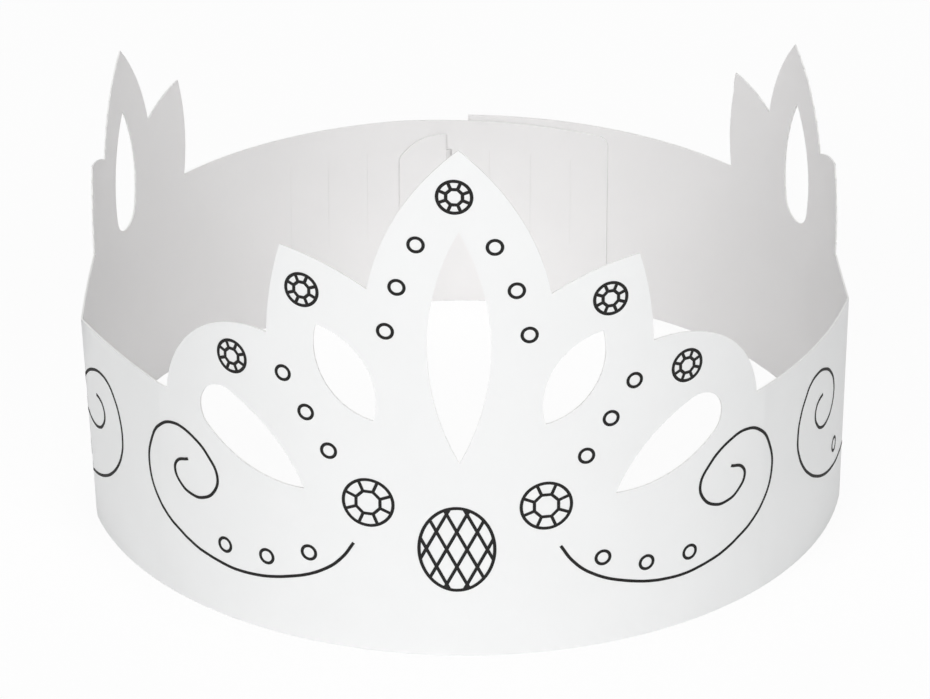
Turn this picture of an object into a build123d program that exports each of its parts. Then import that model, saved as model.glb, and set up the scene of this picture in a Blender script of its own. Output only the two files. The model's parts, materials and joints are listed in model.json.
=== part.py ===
from build123d import *
import os
from math import atan2, cos, hypot, pi, radians, sin, sqrt

# Paper crown: one die-cut sheet of white card, bent into a ring and closed at the back.
# Millimetres. +Z up, the crown stands on its band at z = 0, and its front faces -Y.
# The flat pattern is written as (s, h): s runs along the card from the middle of a group of petals,
# positive to the right of someone facing the crown, and h is the height above the lower edge.

# card
CARD = 0.4              # thickness of the card
BAND = 53.4             # height of the band at the front and the sides
TAIL = 52.4             # height of the two tails at the back
LAP_GAP = 0.3           # air between the two tails where they lap

# plan of the ring, along the middle of the card
FRONT_R = 92.3          # radius of the front
BACK_LESS = 1.9         # the back is bent this much tighter
BACK_STEP = 2.2         # centre of the back arc behind that of the front arc

# upright folds at the two sides, sharp at the upper edge and fading out at the lower one
LEFT_FOLD = 73.2        # degrees round from the front
LEFT_OUT = 2.2          # how far the fold stands out of the ring at the upper edge
LEFT_SAG = 0.2          # how far the card in front of it falls inside the ring
RIGHT_FOLD = 81.5
RIGHT_OUT = 0.5
RIGHT_SAG = 0.8

# front group: middle petal, two small petals, two round shoulders
TIP_H = 127.2           # top of the middle petal
VALLEY = (20.7, 91.9)   # between the middle petal and a small one
SMALL_TIP = (41.4, 99.2)
NOTCH = (45.3, 76.6)    # between a small petal and a shoulder
SHOULDER_S = 76.2       # where a shoulder meets the band
TIP_BOW = 3.6           # how far each edge bows out from its chord
SMALL_BOW = 1.2
OUTER_BOW = 0.8
SHOULDER_BOW = 8.2

# cut-outs of the front group
LENS_BELOW = 19.6       # middle leaf, below the tip of its petal
LENS_LONG = 57.8
LENS_HALF = 7.2
LEAF_TOP = (32.8, 81.4) # leaf of a small petal
LEAF_LOW = (19.5, 59.2)
LEAF_HALF = 5.6
DROP_TIP = (36.3, 39.2) # drop of a shoulder, its point towards the middle
DROP_TURN = 32.3        # degrees above level
DROP_LONG = 32.5
DROP_HALF = 6.8
DROP_WIDEST = 21.5      # from the point

# side groups: three petals and one drop each
LEFT_TURN = 110.5       # middle of the left group, degrees round from the front
RIGHT_TURN = 115.3      # middle of the right group
SIDE_TIP_H = 96.2
SIDE_VALLEY = (12.6, 72.6)
SIDE_SMALL = (25.4, 78.8)   # tip of the small petal on the side of the tails
SIDE_SMALL_FRONT = (25.4, 76.4)  # and of the one on the side of the front
SIDE_FOOT = 26.8        # half width where the group meets the band
SIDE_TIP_BOW = 2.0
SIDE_SMALL_BOW = 0.6
SIDE_FOOT_BOW = 1.4
SIDE_DROP_BELOW = 16.0  # drop, below the tip of its petal
SIDE_DROP_LONG = 32.2
SIDE_DROP_HALF = 5.9
SIDE_DROP_WIDEST = 20.5

# tails, measured along the back from its middle, positive to the right seen from the front
INNER_END = 36.8        # end of the left tail, which lies inside
INNER_ROUND = 2.6       # its rounded corners
SLIT_FIRST = -48.2      # row of slits in the left tail
SLIT_PITCH = 10.7
SLIT_COUNT = 8
SLIT_USED = 4           # the slit that takes the tongue, counted from nought
SLIT_LOW = 18.9
SLIT_LONG = 25.3
SLIT_WIDE = 0.15
OUTER_END = -0.3        # end of the right tail, which lies outside
TAIL_LIFT = 1.6         # how far the lower edge of the right tail stands off the ground
TAIL_RISE = 0.7         # how far its upper edge climbs towards its end
NECK_PLAY = 0.45        # above and below the neck in its slit
HEAD_BACK = 0.75        # from the slit to the flat back of the head
HEAD_LONG = 12.1
HEAD_HALF = 16.7        # half height of the head
HEAD_SIDE = 10.4        # half height of its straight end
HEAD_BOW = 1.9

# worked out from the sizes above
HALF = CARD / 2
LAP = CARD + LAP_GAP
BACK_R = FRONT_R - BACK_LESS
FRONT_C = Vector(0, 0)
BACK_C = Vector(0, BACK_STEP)
OUTER_C = Vector(0, BACK_STEP + LAP)    # the right tail lies this much outside the left one
UNDER_C = Vector(0, BACK_STEP - LAP)    # and the head of its tongue this much inside
CLEAR = 3.0                             # plain card between a group of petals and the bent sides
SINK = 10.0                             # how far the petals run down into the band
OVERRUN = 2.0                           # how far shaping solids run past each other
DEPTH = 12.0                            # their reach to each side of the card
SAME = 0.01                             # lengths closer than this are taken as equal
TALL = TIP_H + SINK                    # above everything
FRONT_A = (SHOULDER_S + CLEAR) / FRONT_R
LEFT_A = radians(LEFT_TURN) - (SIDE_FOOT + CLEAR) / BACK_R
RIGHT_A = radians(RIGHT_TURN) - (SIDE_FOOT + CLEAR) / BACK_R
TAIL_A = radians(RIGHT_TURN) + (SIDE_FOOT + CLEAR) / BACK_R
LEFT_END = -pi - INNER_END / BACK_R
OUTER_A = pi - OUTER_END / BACK_R


def along(angle):
    """Unit vector at an angle from the front (-Y), turning towards +X."""
    return Vector(sin(angle), -cos(angle))


def forward(angle):
    """Unit vector along the card at an angle, turning towards +X."""
    return Vector(cos(angle), sin(angle))


def polar(centre, radius, angle):
    return centre + along(angle) * radius


def arc(centre, radius, a0, a1):
    return ThreePointArc(*[polar(centre, radius, a) for a in (a0, (a0 + a1) / 2, a1)])


def stand(edges, low, high):
    """Upright solid over a closed outline in plan."""
    return Pos(0, 0, low) * Solid.extrude(Face(Wire(edges)), Vector(0, 0, high - low))


def wall(centre, radius, a0, a1, low, high):
    """Upright stretch of card along an arc."""
    outside = arc(centre, radius + HALF, a0, a1)
    inside = arc(centre, radius - HALF, a1, a0)
    return stand([outside, Line(outside @ 1, inside @ 0), inside, Line(inside @ 1, outside @ 0)], low, high)


def bowed(a, b, rise):
    """Middle of an arc from a to b that rises to the left of the way it runs."""
    dx, dy = b[0] - a[0], b[1] - a[1]
    long = hypot(dx, dy)
    return ((a[0] + b[0]) / 2 - dy / long * rise, (a[1] + b[1]) / 2 + dx / long * rise)


def sloped_wall(a0, a1, low, high):
    """Stretch of card on the right whose lower and upper edges each run from one height to another."""
    reach = BACK_R * sin(a1 - a0)
    stretch = 1 + OVERRUN / reach
    far_low, far_high = [ends[0] + (ends[1] - ends[0]) * stretch for ends in (low, high)]
    far = reach * stretch
    ribbon = Polyline((0, low[0]), (far, far_low), (far, far_high), (0, high[0]), close=True)
    slab = extrude(facing(OUTER_C, BACK_R, a0) * Face(Wire(ribbon.edges())), 2 * BACK_R, both=True)
    return wall(OUTER_C, BACK_R, a0, a1, -SINK, TALL) & slab


def facing(centre, radius, angle):
    """Plane that touches the card at an angle: local x along the card, local y up."""
    spot, out, way = polar(centre, radius, angle), along(angle), forward(angle)
    return Plane(origin=(spot.X, spot.Y, 0), x_dir=(way.X, way.Y, 0), z_dir=(out.X, out.Y, 0))


class Flat:
    """The flat pattern round one place on the card, drawn on the plane that touches it there."""

    def __init__(self, centre, radius, angle, s0=0):
        self.radius = radius
        self.s0 = s0
        self.plane = facing(centre, radius, angle)

    def at(self, point):
        return (self.radius * sin((point[0] - self.s0) / self.radius), point[1])

    def line(self, *points):
        return [Line(self.at(a), self.at(b)) for a, b in zip(points, points[1:])]

    def bow(self, a, b, rise):
        return ThreePointArc(self.at(a), self.at(bowed(a, b, rise)), self.at(b))

    def prism(self, edges):
        return extrude(self.plane * Face(Wire(edges)), DEPTH, both=True)


def front_flat(s):
    return Flat(FRONT_C, FRONT_R, s / FRONT_R, s)


def run_on(a, b, rise, extra):
    """End and rise of the arc from a to b, run on past b by a little."""
    dx, dy = b[0] - a[0], b[1] - a[1]
    long = hypot(dx, dy)
    radius = (long**2 / 4 + rise**2) / (2 * rise)
    cx = (a[0] + b[0]) / 2 + dy / long * (radius - rise)
    cy = (a[1] + b[1]) / 2 - dx / long * (radius - rise)
    turn = atan2(b[1] - cy, b[0] - cx) - extra / radius
    end = (cx + radius * cos(turn), cy + radius * sin(turn))
    chord = hypot(end[0] - a[0], end[1] - a[1])
    return end, radius - sqrt(radius**2 - chord**2 / 4)


def drop(flat, tip, turn, long, half, widest):
    """Edges of a drop: a point, two bowed sides and a round end."""
    side_r = (widest**2 + half**2) / (2 * half)
    yc = side_r - half
    rest = long - widest
    end_r = (rest**2 + yc**2 - side_r**2) / (2 * (rest - side_r))
    c = long - end_r
    slope = hypot(c - widest, yc)
    touch = (c + end_r * (c - widest) / slope, end_r * yc / slope)
    a0 = atan2(yc, -widest)
    a1 = atan2(touch[1] + yc, touch[0] - widest)
    mid = (widest + side_r * cos((a0 + a1) / 2), side_r * sin((a0 + a1) / 2) - yc)

    def turned(x, y):
        s = tip[0] + x * cos(turn) - y * sin(turn)
        h = tip[1] + x * sin(turn) + y * cos(turn)
        return flat.at((s, h))

    upper = ThreePointArc(turned(0, 0), turned(*mid), turned(*touch))
    end = ThreePointArc(turned(*touch), turned(long, 0), turned(touch[0], -touch[1]))
    lower = ThreePointArc(turned(touch[0], -touch[1]), turned(mid[0], -mid[1]), turned(0, 0))
    return [upper, end, lower]


def folded_side(side, fold, out, sag, back_c, back_a):
    """Card between the front and the back on one side, with an upright fold that fades downwards."""
    start, turn, end = side * FRONT_A, side * radians(fold), side * back_a
    mid = (start + turn) / 2

    def section(height, out, sag):
        def face_of_card(offset):
            near = polar(FRONT_C, FRONT_R + offset, start)
            crease = polar(FRONT_C, FRONT_R + out + offset, turn)
            far = polar(back_c, BACK_R + offset, end)
            before = ThreePointArc(near, polar(FRONT_C, FRONT_R - sag + offset, mid), crease)
            behind = TangentArc(far, crease, tangent=forward(end) * -side)
            return near, before, behind, far

        near_out, before_out, behind_out, far_out = face_of_card(HALF)
        near_in, before_in, behind_in, far_in = face_of_card(-HALF)
        edges = [before_out, behind_out, Line(far_out, far_in), behind_in, before_in, Line(near_in, near_out)]
        return Pos(0, 0, height) * Face(Wire(edges))

    return loft([section(0, 0, 0), section(BAND, out, sag)], ruled=True)


def front_petals():
    """Solids that hold the outline of the front group, to be shared with the bent card."""
    low = BAND - SINK - OVERRUN
    middle = front_flat(0)
    tip = (0, TIP_H)
    past, bow = run_on(tip, VALLEY, TIP_BOW, OVERRUN)
    left = (-past[0], past[1])
    edges = [middle.bow(left, tip, bow), middle.bow(tip, past, bow)]
    edges += middle.line(past, (past[0], low), (-past[0], low), left)
    petals = middle.prism(edges)
    # the inner edge of a small petal starts a little inside the middle one
    left_tip, left_valley = (-SMALL_TIP[0], SMALL_TIP[1]), (-VALLEY[0], VALLEY[1])
    left_start, small_bow = run_on(left_tip, left_valley, SMALL_BOW, OVERRUN)
    start = (-left_start[0], left_start[1])
    foot = (SHOULDER_S, BAND)
    under = [foot, (SHOULDER_S, low), (start[0], low), start]
    for side in (-1, 1):
        flat = front_flat(side * NOTCH[0])
        outline = [(side * p[0], p[1]) for p in (start, SMALL_TIP, NOTCH, foot)]
        bows = [side * b for b in (small_bow, OUTER_BOW, SHOULDER_BOW)]
        edges = [flat.bow(a, b, rise) for a, b, rise in zip(outline, outline[1:], bows)]
        edges += flat.line(*[(side * p[0], p[1]) for p in under])
        petals += flat.prism(edges)
    return petals


def front_cuts():
    """Leaves and drops that are cut out of the front group."""
    middle = front_flat(0)
    top = (0, TIP_H - LENS_BELOW)
    low = (0, top[1] - LENS_LONG)
    cuts = [middle.prism([middle.bow(low, top, LENS_HALF), middle.bow(top, low, LENS_HALF)])]
    turn = radians(DROP_TURN)
    for side in (-1, 1):
        leaf = front_flat(side * (LEAF_TOP[0] + LEAF_LOW[0]) / 2)
        top, low = (side * LEAF_TOP[0], LEAF_TOP[1]), (side * LEAF_LOW[0], LEAF_LOW[1])
        cuts.append(leaf.prism([leaf.bow(low, top, LEAF_HALF), leaf.bow(top, low, LEAF_HALF)]))
        shoulder = front_flat(side * (DROP_TIP[0] + DROP_LONG / 2 * cos(turn)))
        tip = (side * DROP_TIP[0], DROP_TIP[1])
        lean = turn if side > 0 else pi - turn
        cuts.append(shoulder.prism(drop(shoulder, tip, lean, DROP_LONG, DROP_HALF, DROP_WIDEST)))
    return cuts


def side_group(group, front):
    """Solid that holds the outline of a side group, and the drop that is cut out of it."""
    low = TAIL - SINK - OVERRUN
    edges = group.line((-SIDE_FOOT, low), (SIDE_FOOT, low))
    for hand in (-1, 1):
        small = SIDE_SMALL_FRONT if hand == front else SIDE_SMALL
        points = [(0, SIDE_TIP_H), SIDE_VALLEY, small, (SIDE_FOOT, TAIL), (SIDE_FOOT, low)]
        points = [(hand * p[0], p[1]) for p in points]
        bows = [hand * b for b in (SIDE_TIP_BOW, SIDE_SMALL_BOW, SIDE_FOOT_BOW)]
        edges += [group.bow(a, b, rise) for a, b, rise in zip(points, points[1:], bows)]
        edges += group.line(*points[3:])
    top = (0, SIDE_TIP_H - SIDE_DROP_BELOW)
    cut = drop(group, top, -pi / 2, SIDE_DROP_LONG, SIDE_DROP_HALF, SIDE_DROP_WIDEST)
    return group.prism(edges), group.prism(cut)


def card_round_the_head():
    """The card from the end of the left tail, round the front, to the start of the right tail."""
    card = wall(FRONT_C, FRONT_R, -FRONT_A, FRONT_A, 0, BAND)
    card += folded_side(-1, LEFT_FOLD, LEFT_OUT, LEFT_SAG, BACK_C, LEFT_A)
    card += folded_side(1, RIGHT_FOLD, RIGHT_OUT, RIGHT_SAG, OUTER_C, RIGHT_A)
    card += wall(BACK_C, BACK_R, LEFT_END, -LEFT_A, 0, TAIL)
    card += sloped_wall(RIGHT_A, TAIL_A, (0, TAIL_LIFT), (TAIL, TAIL))
    card += wall(FRONT_C, FRONT_R, -FRONT_A, FRONT_A, BAND - SINK, TALL) & front_petals()
    for cut in front_cuts():
        card -= cut
    reach = (SIDE_FOOT + CLEAR / 2) / BACK_R
    for centre, turn, front in ((BACK_C, -radians(LEFT_TURN), 1), (OUTER_C, radians(RIGHT_TURN), -1)):
        petals, cut = side_group(Flat(centre, BACK_R, turn), front)
        card += wall(centre, BACK_R, turn - reach, turn + reach, TAIL - SINK, TALL) & petals
        card -= cut
    return card


def with_slits(card):
    """Row of slits in the left tail. The one that is used stands open for the tongue."""
    open_wide = CARD * (1 + sqrt(2)) + 2 * LAP_GAP * sqrt(2)
    for k in range(SLIT_COUNT):
        wide = open_wide if k == SLIT_USED else SLIT_WIDE
        plane = facing(BACK_C, BACK_R, -pi - (SLIT_FIRST + k * SLIT_PITCH) / BACK_R)
        card -= plane * Pos(0, SLIT_LOW + SLIT_LONG / 2, 0) * Box(wide, SLIT_LONG, DEPTH)
    return card


def with_round_end(card):
    """Rounded corners at the end of the left tail."""
    end = polar(BACK_C, BACK_R, LEFT_END)

    def at_end(edge):
        spot = edge.center()
        return abs(edge.length - CARD) < SAME and hypot(spot.X - end.X, spot.Y - end.Y) < 2 * CARD

    return fillet([e for e in card.edges() if at_end(e)], INNER_ROUND)


def right_tail():
    """The right tail lies outside the left one and climbs a little towards its end."""
    return sloped_wall(TAIL_A, OUTER_A, (TAIL_LIFT, TAIL_LIFT), (TAIL, TAIL + TAIL_RISE))


def tongue():
    """The tongue leaves the right tail, crosses the open slit on a slant and locks behind it."""
    used = SLIT_FIRST + SLIT_USED * SLIT_PITCH
    cross_a = pi - used / BACK_R
    cross = polar(BACK_C, BACK_R, cross_a)
    out, onward = along(cross_a), forward(cross_a)
    way = (onward - out) * (1 / sqrt(2))
    square = (onward + out) * (1 / sqrt(2))

    def meet(offset, centre):
        """Where a face of the slanted stretch meets an arc of the card on the same side."""
        start = cross + square * offset
        rel = start - centre
        mid = rel.dot(way)
        root = sqrt(mid**2 - rel.dot(rel) + (BACK_R + offset) ** 2)
        step = min(-mid - root, -mid + root, key=abs)
        return start + way * step

    def angle_of(point, centre):
        turn = atan2(point.X - centre.X, centre.Y - point.Y)
        return turn % (2 * pi)

    def face_of_card(offset):
        p, q = meet(offset, OUTER_C), meet(offset, UNDER_C)
        before = arc(OUTER_C, BACK_R + offset, OUTER_A, angle_of(p, OUTER_C))
        behind = arc(UNDER_C, BACK_R + offset, angle_of(q, UNDER_C), tip_a)
        return [before, Line(before @ 1, behind @ 0), behind]

    tip_a = pi - (used - HEAD_BACK - HEAD_LONG - CLEAR) / BACK_R
    outside, inside = face_of_card(HALF), face_of_card(-HALF)
    ends = [Line(outside[-1] @ 1, inside[-1] @ 1), Line(inside[0] @ 0, outside[0] @ 0)]
    strip = stand(outside + inside + ends, 0, TAIL + SINK)

    plane = facing(BACK_C, BACK_R, pi - (used - HEAD_BACK - HEAD_LONG / 2) / BACK_R)
    mid_h = SLIT_LOW + SLIT_LONG / 2
    neck = SLIT_LONG / 2 - NECK_PLAY
    back, tip = -HEAD_LONG / 2, HEAD_LONG / 2
    neck_start = back - HEAD_LONG
    edges = [Line((neck_start, mid_h - neck), (neck_start, mid_h + neck))]
    edges.append(Line((tip, mid_h - HEAD_SIDE), (tip, mid_h + HEAD_SIDE)))
    for hand in (-1, 1):
        barb, end = (back, mid_h + hand * HEAD_HALF), (tip, mid_h + hand * HEAD_SIDE)
        edges.append(Line((neck_start, mid_h + hand * neck), (back, mid_h + hand * neck)))
        edges.append(Line((back, mid_h + hand * neck), barb))
        edges.append(ThreePointArc(barb, bowed(barb, end, hand * HEAD_BOW), end))
    return strip & extrude(plane * Face(Wire(edges)), DEPTH, both=True)


card = with_round_end(with_slits(card_round_the_head()))
closing = right_tail() + tongue()
crown = card + closing
box = crown.bounding_box()
crown = Pos(-box.center().X, -box.center().Y, 0) * crown

os.makedirs("parts", exist_ok=True)
export_step(crown, "parts/crown_card.step")
print("solids", len(crown.solids()), "valid", crown.is_valid, "volume", round(crown.volume, 2))
print("size", [round(v, 2) for v in crown.bounding_box().size], "moved by", -box.center().X, -box.center().Y)
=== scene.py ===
import json
import math

import bpy
from mathutils import Matrix, Vector


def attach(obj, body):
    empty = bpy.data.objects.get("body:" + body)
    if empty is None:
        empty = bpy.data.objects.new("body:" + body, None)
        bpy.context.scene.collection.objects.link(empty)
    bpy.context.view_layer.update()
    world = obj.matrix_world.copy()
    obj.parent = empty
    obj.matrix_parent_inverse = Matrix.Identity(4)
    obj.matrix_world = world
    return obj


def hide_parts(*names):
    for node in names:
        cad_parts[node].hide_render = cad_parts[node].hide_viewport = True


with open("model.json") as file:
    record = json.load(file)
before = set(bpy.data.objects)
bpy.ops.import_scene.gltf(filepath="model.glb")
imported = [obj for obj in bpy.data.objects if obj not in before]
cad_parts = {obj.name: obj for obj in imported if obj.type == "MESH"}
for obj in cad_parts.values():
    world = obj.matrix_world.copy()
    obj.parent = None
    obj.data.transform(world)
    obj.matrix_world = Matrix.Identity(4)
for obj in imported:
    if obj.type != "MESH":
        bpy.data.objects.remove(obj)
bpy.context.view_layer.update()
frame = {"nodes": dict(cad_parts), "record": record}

# Paper crown of white card with black line ornament. Metres, in the frame of the solids: +Z up, the
# front faces -Y. A place on the card has s, its distance along the card, and h, its height.
MM = 0.001
BOTH = (-1, 1)                  # left and right
CARD = 0.4 * MM                 # thickness of the card
BAND = 53.4 * MM                # height of the band
TAIL = 52.4 * MM                # height of the tails
SAME = 0.002 * MM               # points closer than this are one
NEAR = 0.1 * MM                 # room for rounding where places are compared

# Plan of the ring
FRONT_R = 92.3 * MM             # middle of the card from the middle of the front arc
FRONT_HALF = 79.2 * MM          # half length of the front arc
FOLDS = (-73.2, 81.5)           # upright folds at the sides, degrees round from the front
BACK_R = 90.4 * MM              # middle of the card from the middle of the back arc
BACK_STEP = 2.2 * MM            # middle of the back arc behind that of the front arc
BACK_LEFT = math.radians(93.5)  # the back arcs start before these angles
BACK_RIGHT = math.radians(95.4)
FOOT = Vector(frame["record"]["mounts"][0]["pos_m"])
RING = FOOT + Vector((0, FRONT_R, 0))
BACK = RING + Vector((0, BACK_STEP, 0))

# Row of slits in the inner tail, s from the middle of the back
SLIT_PITCH = 10.7 * MM
SLIT_FIRST = -48.2 * MM
SLIT_COUNT = 8
SLIT_USED = 4                   # this one stands open for the tongue
SLIT_WIDE = 0.15 * MM
SLIT_SHUT = 0.2                 # the others close up to this share of their width

# How the front stands
LEAN = 0.0005 / MM              # back on the left and forward on the right, by this times s and h
LEAN_LEFT = 0.0026              # and to the left, by this times h
LEAN_FULL = 60.0 * MM           # the lean dies away from here to the ends of the front arc

# How the lap lies, s from the middle of the back
TAIL_END = 36.8 * MM            # end of the inner tail
TAIL_DROOP = 2.0 * MM           # its upper edge hangs this much lower at the end
DROOP_FROM = -17.4 * MM
TONGUE_FROM = -5.4 * MM         # head of the tongue
TONGUE_TO = -18.3 * MM
LAP_SHUT = 0.18 * MM            # the ends of the tail and of the tongue are pressed on by this much
TAIL_LAYER = 0.75 * CARD        # the inner tail lies within this of the back arc
TONGUE_LAYER = (-3 * CARD, -CARD)  # and the head of the tongue this far inside it

# How the side petals stand
LEFT_MID = math.radians(110.5)  # middle of each group, round from the front
RIGHT_MID = math.radians(115.3)
GROUP_HALF = 26.8 * MM          # half width of a group
FOOT_RUN = 3.0 * MM             # in front of a group the card is as low as the tails for this long
TO_FOLD = 55.4 * MM             # from the middle of the right group to the fold in front of it
REACH = 5.0 * MM                # the right group reaches this much further forward
TIP_H = 96.2 * MM               # height of its tip
TIP_IN = 1.9 * MM               # which leans inwards by this much

# Print
INK_PROUD = 0.03 * MM           # the ink stands on the card by this much
INK_THICK = 0.03 * MM
INK_CUTS = 2                    # lines of ink are divided, so that they follow the bend
DRAWN_OUT = 6.0 * MM            # the bent print starts this far outside the card

# Marks
PEARL_R = 2.07 * MM
PEARL_STROKE = 0.75 * MM
PEARL_SIDES = 40
GEM_FACETS = 8
GEM_RIM_SIDES = 6               # sides of the rim for each facet
GEM_R = 4.24 * MM
GEM_TABLE = 1.84 * MM           # from the middle to the middle of an edge of the table
GEM_STROKE = 0.77 * MM
BIG_GEM_R = 6.2 * MM
BIG_GEM_TABLE = 2.80 * MM
BIG_GEM_STROKE = 0.75 * MM
ON_GEM_RIM = 0.98               # points further out than this share of the radius are on the rim
WELL_INSIDE = 0.9               # middles of faces are kept to this share of a bound
OVAL_WIDE = 9.0 * MM            # half width and half height
OVAL_HIGH = 11.0 * MM
OVAL_STROKE = 0.77 * MM
OVAL_SIDES = 72
ON_OVAL_RIM = 0.99
LATTICE_STEP = 4.64 * MM        # between lines that lean the same way
LATTICE_LEAN = 0.512
LATTICE_LINES = 4
CELL_ROOM = 1.15                # smaller cells than this many half lines fill up with ink
SCROLL_STROKE = 0.75 * MM
SCROLL_STEPS = 10               # of the curve between two points

# Print on the front, in millimetres: s to each side of its middle, h, and how far off to the right
PRINT_MID = -0.65
PRINT_UP = 0.12                 # pearls and gems sit a little high
PEARLS = [
    (8.75, 103.85, -0.13), (13.35, 93.08, 0.13), (16.15, 81.96, 0.23),
    (40.87, 67.33, 0.30), (35.23, 58.69, 0.27), (29.60, 49.98, 0.10),
    (57.15, 18.54, -0.40), (45.40, 19.08, -0.40), (34.36, 22.79, -0.42),
]
GEMS = [(35.28, 89.08, -0.23), (54.60, 67.90, 0.31)]
BIG_GEM = (20.36, 38.24, 0.06)
TOP_GEM_H = 115.90
TOP_GEM_OFF = -0.33
OVAL_H = 27.83
SCROLL = [
    (23.8, 27.5), (26.5, 23.4), (30.7, 19.6), (40, 15.5), (52, 13.3), (60, 13.8), (70, 16.5), (80, 23),
    (83.5, 31), (82, 38), (79, 42.3), (73.5, 45), (67, 43.7), (62, 40), (59.4, 35.5), (60.5, 31.5),
    (64, 28.8), (67.5, 28.4), (71, 29.8), (73.3, 33), (72.5, 35.5), (68.7, 37.3),
]

# Print on the sides, in millimetres: s from the middle of the front, and h
SIDE_SCROLL = [
    (124.7, 14.4), (117.2, 14.8), (111.2, 16.1), (105.7, 18.4), (102, 20.8), (98.7, 24), (96.2, 28.2),
    (95.3, 32.4), (96.9, 39), (99.2, 42.2), (101.9, 44.5), (105.9, 45.5), (111.1, 44.4), (115.4, 41.6),
    (118.1, 37.8), (118.3, 34.2), (116.2, 31.3), (112.7, 29.6), (108.7, 30), (106.2, 31.9), (105, 34.5),
    (105.8, 36.9), (107.5, 38), (109.7, 38.4),
]
SIDE_PEARL = (119.2, 20.2)
SIDE_LEFT_BACK = 0.9            # on the left it sits further back and lower
SIDE_LEFT_DOWN = 1.9

# Print round the side petals, in millimetres: s from the middle of each group, positive to the back, and h
GROUP_MID = {-1: 180.1, 1: 188.4}  # middle of each group from the middle of the front
GROUP_TAIL = {                  # start of each side scroll
    -1: [(-26, 26.6), (-28.6, 22.6), (-32.4, 19), (-37.4, 16), (-44, 13.8)],
    1: [(-26, 27), (-28.6, 23.2), (-32.4, 20), (-37.4, 17.4), (-44, 15.6)],
}
GROUP_PEARLS = [(-37, 23.3), (-49, 19.5)]
GROUP_GEMS = [(0, 85.5), (-21.5, 65), (21.5, 66.5)]
GROUP_BIG_GEMS = [(-20.4, 38.2), (20.4, 38.2)]

# Finish of the card: name, darkest and lightest colour, strength of the grain
CARD_FINISHES = (
    ("card_outside", (0.885, 0.89, 0.89), (0.93, 0.935, 0.935), 0.25),
    ("card_inside", (0.892, 0.883, 0.881), (0.932, 0.923, 0.921), 0.35),
    ("card_edge", (0.82, 0.82, 0.81), (0.90, 0.90, 0.89), 0.5),
)
OUTSIDE, INSIDE, EDGE = range(len(CARD_FINISHES))
FACING = 0.5                    # faces that look in or out by less than this are cut edges
SHARP = math.radians(25)        # steeper edges than this stay sharp
ALONG_RADIUS = 0.97             # faces that look in or out by more than this are shaded as an arc
CLOUD = (55.0, 4.0, 0.55)       # noises: scale, detail and roughness
FIBRE = (1800.0, 3.0, 0.6)
TOOTH = (4200.0, 2.0, 0.5)
FIBRE_STRETCH = (1.0, 1.0, 0.25)  # fibres are longer upwards
CLOUD_SHARE = 0.75              # of the tone, and the rest is fibre
GRAIN_DEPTH = 0.02 * MM
CARD_ROUGH = 0.66               # least roughness, and how much the tooth adds
CARD_ROUGH_MORE = 0.16
CARD_SHINE = 0.3
INK_DARK = (0.008, 0.0075, 0.0075)
INK_LIGHT = (0.020, 0.019, 0.018)
INK_COVER = (2600.0, 3.0, 0.6)
INK_ROUGH = 0.55
INK_ROUGH_MORE = 0.2
INK_SHINE = 0.2
MIX_FROM, MIX_TO, MIX_COLOUR = 6, 7, 2  # colour sockets of a Mix node

# Camera, as the crown was seen
SEEN_FROM = RING + Vector((12.66, -1059.643, 566.136)) * MM
LOOK_DOWN = 0.466793            # radians
LOOK_LEFT = 0.011923
LENS = 188.49                   # millimetres, and so is the sensor's width
SENSOR = 36.0
CLIP_NEAR = 0.05
CLIP_FAR = 100.0

# Floor and light
FLOOR_SIZE = 40.0
FLOOR_BELOW = 0.05 * MM
FLOOR_PALE = (0.92, 0.92, 0.92, 1)
FLOOR_WHITE = 0.92              # share of plain white in what is seen of the floor
WHITE = (1, 1, 1, 1)
ROOM_LIGHT = 0.19               # strength of the even light all round
BOX_SIZE = 1.2                  # across each softbox
LIT_SPOT = Vector((0, 0, 60 * MM))
SOFTBOXES = (                   # name, place and power
    ("left_box", (-1.3, -1.8, 1.2), 19.4),
    ("right_box", (1.3, -1.8, 1.2), 16.9),
    ("low_box", (0, -2.4, 0.25), 7.1),
    ("overhead_box", (0, 0, 2.4), 16.8),
    ("rear_box", (0, 2.3, 1.0), 13.0),
)


def deselect():
    bpy.ops.object.select_all(action="DESELECT")


def pick(piece):
    deselect()
    piece.select_set(True)
    bpy.context.view_layer.objects.active = piece


def into_edit(piece):
    """Edit mode, with all of the piece selected."""
    pick(piece)
    bpy.ops.object.mode_set(mode="EDIT")
    bpy.ops.mesh.select_all(action="SELECT")


def out_of_edit():
    bpy.ops.object.mode_set(mode="OBJECT")


def choose_faces(piece, wanted):
    """In edit mode, selects only the faces for which wanted(face) is true."""
    out_of_edit()
    mesh = piece.data
    for part in (mesh.vertices, mesh.edges, mesh.polygons):
        part.foreach_set("select", [False] * len(part))
    for face in mesh.polygons:
        face.select = wanted(face)
    bpy.ops.object.mode_set(mode="EDIT")


def settle(piece):
    """Puts a piece's place, turn and size into its mesh."""
    pick(piece)
    bpy.ops.object.transform_apply(location=True, rotation=True, scale=True)


def finish_with(piece, kind, **settings):
    """Adds a modifier and applies it."""
    pick(piece)
    modifier = piece.modifiers.new(kind.lower(), kind)
    for name, value in settings.items():
        setattr(modifier, name, value)
    bpy.ops.object.modifier_apply(modifier=modifier.name)


def copy_to(piece, s, h):
    """Copy of a flat piece of print, moved along the card and up by millimetres."""
    pick(piece)
    bpy.ops.object.duplicate()
    twin = bpy.context.object
    twin.data.transform(Matrix.Translation((s * MM, 0, h * MM)))
    return twin


def joined(pieces, name):
    deselect()
    for piece in pieces:
        piece.select_set(True)
    bpy.context.view_layer.objects.active = pieces[0]
    bpy.ops.object.join()
    whole = bpy.context.object
    whole.name = name
    whole.data.name = name
    return whole


def turned(spot):
    """Angle of a place round from the front, positive on the right."""
    return math.atan2(spot.x, -spot.y)


# Materials


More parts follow.
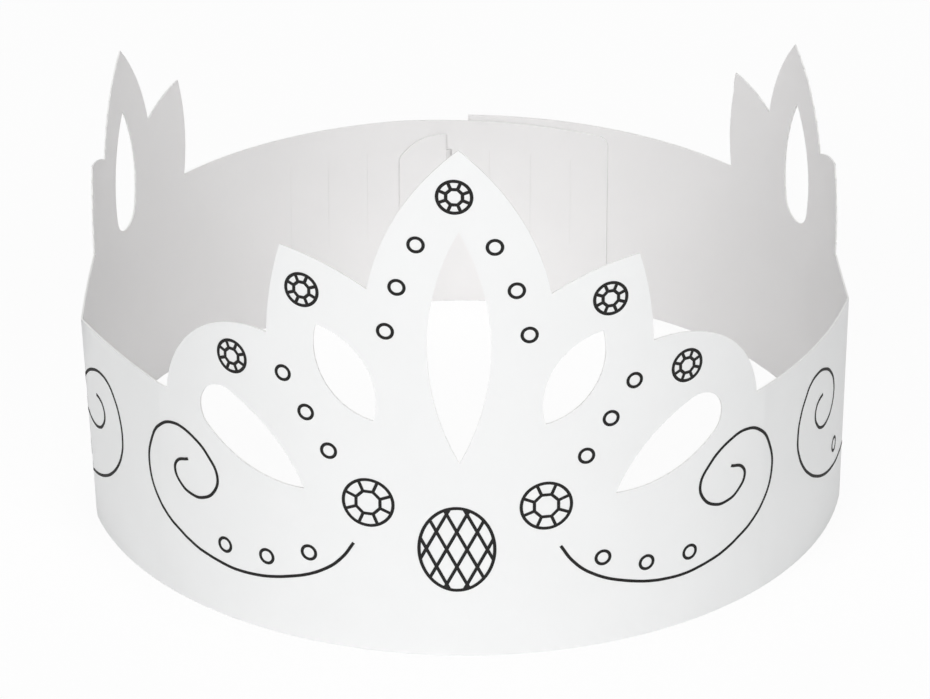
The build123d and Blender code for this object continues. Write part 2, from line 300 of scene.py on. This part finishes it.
class Field:
    """A socket of a material. Arithmetic on it adds Math nodes, and node() adds any other node."""

    def __init__(self, tree, socket=None):
        self.tree = tree
        self.socket = socket

    def node(self, kind, settings=None, inputs=None, out=0):
        made = self.tree.nodes.new(kind)
        for name, value in (settings or {}).items():
            setattr(made, name, value)
        for name, value in (inputs or {}).items():
            if isinstance(value, Field):
                self.tree.links.new(value.socket, made.inputs[name])
            else:
                made.inputs[name].default_value = value
        return Field(self.tree, made.outputs[out] if len(made.outputs) else None)

    def math(self, operation, a, b):
        return self.node("ShaderNodeMath", {"operation": operation}, {0: a, 1: b})

    def __add__(self, other):
        return self.math("ADD", self, other)

    def __radd__(self, other):
        return self.math("ADD", other, self)

    def __mul__(self, other):
        return self.math("MULTIPLY", self, other)


def new_material(name):
    material = bpy.data.materials.new(name)
    material.use_nodes = True
    tree = material.node_tree
    tree.nodes.clear()
    return material, Field(tree)


def between(field, amount, low, high):
    """Colour that goes from low to high as amount goes from 0 to 1."""
    inputs = {0: amount, MIX_FROM: (*low, 1), MIX_TO: (*high, 1)}
    return field.node("ShaderNodeMix", {"data_type": "RGBA", "clamp_factor": True}, inputs, out=MIX_COLOUR)


def noise(field, spot, kind):
    scale, detail, rough = kind
    inputs = {"Vector": spot, "Scale": scale, "Detail": detail, "Roughness": rough}
    return field.node("ShaderNodeTexNoise", None, inputs)


def card_material(name, dark, light, grain):
    """Matte card: cloudy formation, fine upright fibres and a soft tooth."""
    material, field = new_material(name)
    spot = field.node("ShaderNodeTexCoord", out="Object")
    stretched = field.node("ShaderNodeMapping", None, {"Vector": spot, "Scale": FIBRE_STRETCH})
    cloud = noise(field, spot, CLOUD)
    fibre = noise(field, stretched, FIBRE)
    tooth = noise(field, spot, TOOTH)
    tone = cloud * CLOUD_SHARE + fibre * (1 - CLOUD_SHARE)
    height = (fibre + tooth) * 0.5
    bump = field.node("ShaderNodeBump", None, {"Strength": grain, "Distance": GRAIN_DEPTH, "Height": height})
    surface = field.node("ShaderNodeBsdfPrincipled", None, {
        "Base Color": between(field, tone, dark, light),
        "Roughness": CARD_ROUGH + tooth * CARD_ROUGH_MORE,
        "Specular IOR Level": CARD_SHINE,
        "Normal": bump,
    })
    field.node("ShaderNodeOutputMaterial", None, {"Surface": surface})
    return material


def ink_material():
    """Black printing ink, a little uneven where the card drinks it."""
    material, field = new_material("black_ink")
    spot = field.node("ShaderNodeTexCoord", out="Object")
    cover = noise(field, spot, INK_COVER)
    surface = field.node("ShaderNodeBsdfPrincipled", None, {
        "Base Color": between(field, cover, INK_DARK, INK_LIGHT),
        "Roughness": INK_ROUGH + cover * INK_ROUGH_MORE,
        "Specular IOR Level": INK_SHINE,
    })
    field.node("ShaderNodeOutputMaterial", None, {"Surface": surface})
    return material


# The card


def dressed_card(node):
    """Smooth copy of the solid, with one finish outside, one inside and one on its cut edges."""
    card = bpy.data.objects.new("printed_card", node.data.copy())
    bpy.context.scene.collection.objects.link(card)
    merge_doubles(card)
    card.data.materials.clear()
    for finish in CARD_FINISHES:
        card.data.materials.append(card_material(*finish))
    for face in card.data.polygons:
        out = (face.center - RING).to_2d().normalized()
        facing = face.normal.to_2d().dot(out)
        face.material_index = OUTSIDE if facing > FACING else INSIDE if facing < -FACING else EDGE
    shut_slits(card)
    lay_tail(card)
    level_feet(card)
    lean_front(card)
    settle_right_petals(card)
    pick(card)
    bpy.ops.object.shade_smooth_by_angle(angle=SHARP)
    for face in card.data.polygons:
        face.use_smooth = face.material_index != EDGE
    round_off(card)
    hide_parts("crown_card")
    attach(card, "root")
    return card


def merge_doubles(card):
    into_edit(card)
    bpy.ops.mesh.remove_doubles(threshold=SAME)
    out_of_edit()


def shut_slits(card):
    """A cut takes no card away: the slits that aren't used close up to a hairline."""
    for k in range(SLIT_COUNT):
        if k == SLIT_USED:
            continue
        angle = -math.pi - (SLIT_FIRST + k * SLIT_PITCH) / BACK_R
        out = Vector((math.sin(angle), -math.cos(angle), 0))
        across = Vector((math.cos(angle), math.sin(angle), 0))
        middle = BACK + out * BACK_R
        for vertex in card.data.vertices:
            spot = vertex.co - middle
            aside = spot.dot(across)
            if abs(aside) < SLIT_WIDE and abs(spot.dot(out)) < CARD:
                vertex.co -= across * aside * (1 - SLIT_SHUT)


def lay_tail(card):
    """The end of the inner tail hangs a little. It and the tongue's head lie on the card outside them."""
    for vertex in card.data.vertices:
        spot = vertex.co - BACK
        s = math.atan2(spot.x, spot.y) * BACK_R
        out = Vector((spot.x, spot.y, 0))
        depth = out.length - BACK_R
        out.normalize()
        if abs(depth) < TAIL_LAYER and DROOP_FROM < s < TAIL_END + CARD:
            share = (s - DROOP_FROM) / (TAIL_END - DROOP_FROM)
            vertex.co.z -= TAIL_DROOP * share * spot.z / TAIL
            vertex.co += out * LAP_SHUT * share ** 2
        elif TONGUE_LAYER[0] < depth < TONGUE_LAYER[1] and TONGUE_TO - CARD < s < TONGUE_FROM:
            share = (TONGUE_FROM - s) / (TONGUE_FROM - TONGUE_TO)
            vertex.co += out * LAP_SHUT * share


def level_feet(card):
    """The band keeps its height up to the front foot of each group of side petals."""
    for vertex in card.data.vertices:
        spot = vertex.co - BACK
        angle = turned(spot)
        ahead = (RIGHT_MID - angle if angle > 0 else LEFT_MID + angle) * BACK_R
        if abs(spot.z - TAIL) < NEAR and -NEAR < ahead - GROUP_HALF < FOOT_RUN + NEAR:
            vertex.co.z = BAND
    merge_doubles(card)


def lean_front(piece):
    """The front leans back a little on the left, forward on the right, and to the left."""
    for vertex in piece.data.vertices:
        spot = vertex.co - RING
        angle = turned(spot)
        s = angle * FRONT_R
        if abs(s) < FRONT_HALF:
            fade = min(1.0, (FRONT_HALF - abs(s)) / (FRONT_HALF - LEAN_FULL))
            vertex.co.y -= LEAN * s * spot.z * fade * math.cos(angle)
            vertex.co.x -= LEAN_LEFT * spot.z * fade


def reach(ahead):
    """How far a place on the right group comes forward, by how far it is ahead of the group's middle."""
    if not -GROUP_HALF < ahead < TO_FOLD:
        return 0.0
    if ahead < GROUP_HALF:
        return REACH * ((ahead + GROUP_HALF) / (2 * GROUP_HALF)) ** 2
    return REACH * (TO_FOLD - ahead) / (TO_FOLD - GROUP_HALF)


def settle_right_petals(card):
    """The front of the right group reaches further forward, and its tips lean inwards."""
    for vertex in card.data.vertices:
        spot = vertex.co - BACK
        angle = turned(spot)
        ahead = (RIGHT_MID - angle) * BACK_R
        if not -GROUP_HALF < ahead < TO_FOLD:
            continue
        moved = angle - reach(ahead) / BACK_R
        above = max(0.0, (spot.z - TAIL) / (TIP_H - TAIL))
        away = math.hypot(spot.x, spot.y) - TIP_IN * above ** 2
        vertex.co.x = BACK.x + away * math.sin(moved)
        vertex.co.y = BACK.y - away * math.cos(moved)


def round_off(card):
    """Shades the front and the back as true arcs: their normals point away from the middle of the bend."""
    mesh = card.data
    normals = [Vector()] * len(mesh.loops)
    for face in mesh.polygons:
        angle = turned(face.center - RING)
        if abs(angle) < FRONT_HALF / FRONT_R:
            middle = RING
        elif angle < -BACK_LEFT or angle > BACK_RIGHT:
            middle = BACK
        else:
            continue
        for corner in face.loop_indices:
            away = mesh.vertices[mesh.loops[corner].vertex_index].co - middle
            away.z = 0
            away.normalize()
            lean = away.dot(face.normal)
            if abs(lean) > ALONG_RADIUS:
                normals[corner] = away * math.copysign(1, lean)
    mesh.normals_split_custom_set(normals)


# Flat print: each mark is drawn round the origin, x along the card and z up


def disc(sides, radius, turn=0.0):
    """Filled disc that faces -Y."""
    deselect()
    bpy.ops.mesh.primitive_circle_add(
        vertices=sides, radius=radius, fill_type="NGON", rotation=(math.pi / 2, turn, 0)
    )
    piece = bpy.context.object
    settle(piece)
    return piece


def open_up(stroke):
    """Leaves only a line of ink round the edge of each selected face."""
    bpy.ops.mesh.inset(thickness=stroke, use_even_offset=True, use_individual=True)
    bpy.ops.mesh.delete(type="FACE")


def pearl():
    piece = disc(PEARL_SIDES, PEARL_R)
    into_edit(piece)
    open_up(PEARL_STROKE)
    out_of_edit()
    return piece


def gem(radius, table, stroke):
    """Round gem seen from above: an eight-sided table and eight facets round it."""
    corner = math.pi / GEM_FACETS
    piece = disc(GEM_RIM_SIDES * GEM_FACETS, radius, corner)

    def inside(face):
        """False for a face of the outermost line."""
        spots = [piece.data.vertices[v].co for v in face.vertices]
        return all(spot.length <= radius * ON_GEM_RIM for spot in spots)

    def in_wedge(face, way):
        """True for the faces of one facet, which lies that way."""
        middle = face.center
        if not inside(face) or middle.length == 0:
            return False
        return middle.normalized().dot(way) > math.cos(corner * WELL_INSIDE)

    into_edit(piece)
    bpy.ops.mesh.inset(thickness=stroke / 2)
    for k in range(GEM_FACETS // 2):
        a = corner + k * 2 * corner
        choose_faces(piece, inside)
        bpy.ops.mesh.bisect(plane_co=(0, 0, 0), plane_no=(-math.sin(a), 0, math.cos(a)))
    for k in range(GEM_FACETS):
        way = Vector((math.cos(2 * k * corner), 0, math.sin(2 * k * corner)))
        choose_faces(piece, lambda face: in_wedge(face, way))
        bpy.ops.mesh.bisect(plane_co=way * table, plane_no=way)
    choose_faces(piece, lambda face: face.center.length < table * WELL_INSIDE)
    bpy.ops.mesh.dissolve_faces()
    choose_faces(piece, inside)
    open_up(stroke / 2)
    out_of_edit()
    return piece


def lattice_oval():
    """Oval filled with a lattice of leaning lines."""
    piece = disc(OVAL_SIDES, 1.0)
    piece.scale = (OVAL_WIDE, 1, OVAL_HIGH)
    settle(piece)
    half_line = OVAL_STROKE / 2

    def inside(face):
        """False for a face of the outermost line."""
        spots = [piece.data.vertices[v].co for v in face.vertices]
        return all(math.hypot(p.x / OVAL_WIDE, p.z / OVAL_HIGH) < ON_OVAL_RIM for p in spots)

    def roomy(face):
        """True where a cell is wider than the lines round it."""
        spots = [piece.data.vertices[v].co for v in face.vertices]
        round_it = sum((a - b).length for a, b in zip(spots, spots[1:] + spots[:1]))
        return 2 * face.area / round_it > half_line * CELL_ROOM

    into_edit(piece)
    bpy.ops.mesh.inset(thickness=half_line)
    for k in range(LATTICE_LINES):
        x = (k - (LATTICE_LINES - 1) / 2) * LATTICE_STEP
        for side in BOTH:
            choose_faces(piece, inside)
            bpy.ops.mesh.bisect(plane_co=(x, 0, 0), plane_no=(1, 0, -side * LATTICE_LEAN))
    choose_faces(piece, lambda face: inside(face) and roomy(face))
    open_up(half_line)
    out_of_edit()
    return piece


def scroll(points):
    """Line of ink along a smooth curve through points."""
    deselect()
    bpy.ops.curve.primitive_bezier_curve_add()
    piece = bpy.context.object
    line = piece.data
    line.dimensions = "3D"
    line.twist_mode = "Z_UP"
    line.resolution_u = SCROLL_STEPS
    line.extrude = SCROLL_STROKE / 2
    spline = line.splines[0]
    spline.bezier_points.add(len(points) - len(spline.bezier_points))
    for point, (s, h) in zip(spline.bezier_points, points):
        point.co = (s * MM, h * MM, 0)
        point.tilt = math.pi / 2
        point.handle_left_type = "AUTO"
        point.handle_right_type = "AUTO"
    pick(piece)
    bpy.ops.object.convert(target="MESH")
    piece = bpy.context.object
    piece.rotation_euler = (math.pi / 2, 0, 0)
    settle(piece)
    return piece


def front_marks(pattern, spots):
    """Copies of a mark on the front, left and right."""
    return [
        copy_to(pattern, PRINT_MID + off + side * s, h + PRINT_UP) for side in BOTH for s, h, off in spots
    ]


def side_marks(pattern, side, spots):
    return [copy_to(pattern, side * s, h) for s, h in spots]


def side_spots(side, spots):
    """Places of the print on one side."""
    if side > 0:
        return spots
    return [(s + SIDE_LEFT_BACK, h - SIDE_LEFT_DOWN) for s, h in spots]


def group_spots(side, spots):
    """Places of the print round one group of side petals."""
    placed = []
    for s, h in spots:
        forward = reach(-s * MM) / MM if side > 0 else 0.0
        placed.append((GROUP_MID[side] + s - forward, h))
    return placed


def flat_print():
    """All the marks, still flat, by the names of the pieces that they go into."""
    one_pearl = pearl()
    one_gem = gem(GEM_R, GEM_TABLE, GEM_STROKE)
    one_big_gem = gem(BIG_GEM_R, BIG_GEM_TABLE, BIG_GEM_STROKE)
    one_oval = lattice_oval()
    pearls = front_marks(one_pearl, PEARLS)
    gems = front_marks(one_gem, GEMS) + front_marks(one_big_gem, [BIG_GEM])
    gems.append(copy_to(one_gem, PRINT_MID + TOP_GEM_OFF, TOP_GEM_H + PRINT_UP))
    ovals = [copy_to(one_oval, PRINT_MID, OVAL_H)]
    scrolls = []
    for side in BOTH:
        side_scroll = group_spots(side, GROUP_TAIL[side]) + side_spots(side, SIDE_SCROLL)
        for points in (SCROLL, side_scroll):
            scrolls.append(scroll([(PRINT_MID + side * s, h) for s, h in points]))
        pearls += side_marks(one_pearl, side, side_spots(side, [SIDE_PEARL]))
        pearls += side_marks(one_pearl, side, group_spots(side, GROUP_PEARLS))
        gems += side_marks(one_gem, side, group_spots(side, GROUP_GEMS))
        gems += side_marks(one_big_gem, side, group_spots(side, GROUP_BIG_GEMS))
        ovals += side_marks(one_oval, side, group_spots(side, [(0, OVAL_H)]))
    for pattern in (one_pearl, one_gem, one_big_gem, one_oval):
        bpy.data.objects.remove(pattern)
    return {"ink_pearls": pearls, "ink_gems": gems, "ink_ovals": ovals, "ink_scrolls": scrolls}


# Flat print onto the card


def print_on_card(pieces, name, card, finish):
    """Joins flat pieces of print, bends them round the ring and lays them on the outside of the card."""
    ink = joined(pieces, name)
    into_edit(ink)
    bpy.ops.mesh.subdivide(number_cuts=INK_CUTS)
    bpy.ops.transform.translate(value=(0, -DRAWN_OUT, 0))
    for fold in FOLDS:
        bpy.ops.mesh.select_all(action="SELECT")
        bpy.ops.mesh.bisect(plane_co=(math.radians(fold) * FRONT_R, 0, 0), plane_no=(1, 0, 0))
    out_of_edit()
    along = [vertex.co.x for vertex in ink.data.vertices]
    bend = (max(along) - min(along)) / FRONT_R
    finish_with(ink, "SIMPLE_DEFORM", deform_method="BEND", deform_axis="Z", angle=bend)
    ink.location = FOOT
    settle(ink)
    lean_front(ink)
    press_on(ink, card)
    into_edit(ink)
    bpy.ops.mesh.normals_make_consistent(inside=False)
    out_of_edit()
    turn_outwards(ink)
    finish_with(ink, "SOLIDIFY", thickness=INK_THICK, offset=1.0)
    ink.data.materials.clear()
    ink.data.materials.append(finish)
    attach(ink, "root")


def press_on(ink, card):
    """Moves print straight in towards the middle of the ring, until it lies on the card."""
    bpy.context.view_layer.update()
    for vertex in ink.data.vertices:
        inwards = RING - vertex.co
        inwards.z = 0
        inwards.normalize()
        found, place, _, _ = card.ray_cast(vertex.co, inwards)
        if found:
            vertex.co = place - inwards * INK_PROUD
    ink.data.update()


def turn_outwards(ink):
    """Faces of flat print look away from the middle of the ring."""
    for face in ink.data.polygons:
        out = face.center - RING
        if face.normal.x * out.x + face.normal.y * out.y < 0:
            face.flip()
    ink.data.update()


# Floor, light and camera


def in_view(field):
    """1 for what is seen, straight on, in a shine or through something, and 0 for light that bounces."""
    seen = field.node("ShaderNodeLightPath", out="Is Camera Ray")
    shine = field.node("ShaderNodeLightPath", out="Is Glossy Ray")
    through = field.node("ShaderNodeLightPath", out="Is Transmission Ray")
    return seen + shine + through


def floor():
    """Pale floor that is seen as white and keeps a soft shadow of the crown."""
    deselect()
    bpy.ops.mesh.primitive_plane_add(size=FLOOR_SIZE, location=(0, 0, -FLOOR_BELOW))
    ground = bpy.context.object
    ground.name = "floor"
    material, field = new_material("pale_floor")
    white = field.node("ShaderNodeEmission", None, {"Color": WHITE, "Strength": 1.0})
    pale = field.node("ShaderNodeBsdfDiffuse", None, {"Color": FLOOR_PALE})
    surface = field.node("ShaderNodeMixShader", None, {0: in_view(field) * FLOOR_WHITE, 1: pale, 2: white})
    field.node("ShaderNodeOutputMaterial", None, {"Surface": surface})
    ground.data.materials.append(material)


def daylight():
    """Even white surroundings, seen as plain white."""
    world = bpy.data.worlds.new("white_room")
    world.use_nodes = True
    bpy.context.scene.world = world
    tree = world.node_tree
    tree.nodes.clear()
    field = Field(tree)
    white = field.node("ShaderNodeBackground", None, {"Color": WHITE, "Strength": 1.0})
    soft = field.node("ShaderNodeBackground", None, {"Color": WHITE, "Strength": ROOM_LIGHT})
    surface = field.node("ShaderNodeMixShader", None, {0: in_view(field), 1: soft, 2: white})
    field.node("ShaderNodeOutputWorld", None, {"Surface": surface})


def softbox(name, place, power):
    """Round softbox that looks at the crown."""
    light = bpy.data.lights.new(name, "AREA")
    light.shape = "DISK"
    light.size = BOX_SIZE
    light.energy = power
    holder = bpy.data.objects.new(name, light)
    bpy.context.scene.collection.objects.link(holder)
    holder.location = place
    holder.rotation_mode = "QUATERNION"
    holder.rotation_quaternion = (LIT_SPOT - Vector(place)).to_track_quat("-Z", "Y")


def camera():
    lens = bpy.data.cameras.new("camera")
    lens.sensor_width = SENSOR
    lens.lens = LENS
    lens.clip_start = CLIP_NEAR
    lens.clip_end = CLIP_FAR
    holder = bpy.data.objects.new("camera", lens)
    bpy.context.scene.collection.objects.link(holder)
    level = math.cos(LOOK_DOWN)
    ahead = Vector((-math.sin(LOOK_LEFT) * level, math.cos(LOOK_LEFT) * level, -math.sin(LOOK_DOWN)))
    holder.location = SEEN_FROM
    holder.rotation_mode = "QUATERNION"
    holder.rotation_quaternion = ahead.to_track_quat("-Z", "Y")
    bpy.context.scene.camera = holder


card = dressed_card(frame["nodes"]["crown_card"])
black_ink = ink_material()
for name, pieces in flat_print().items():
    print_on_card(pieces, name, card, black_ink)
floor()
daylight()
for name, place, power in SOFTBOXES:
    softbox(name, place, power)
camera()
bpy.context.scene.view_settings.view_transform = "Standard"
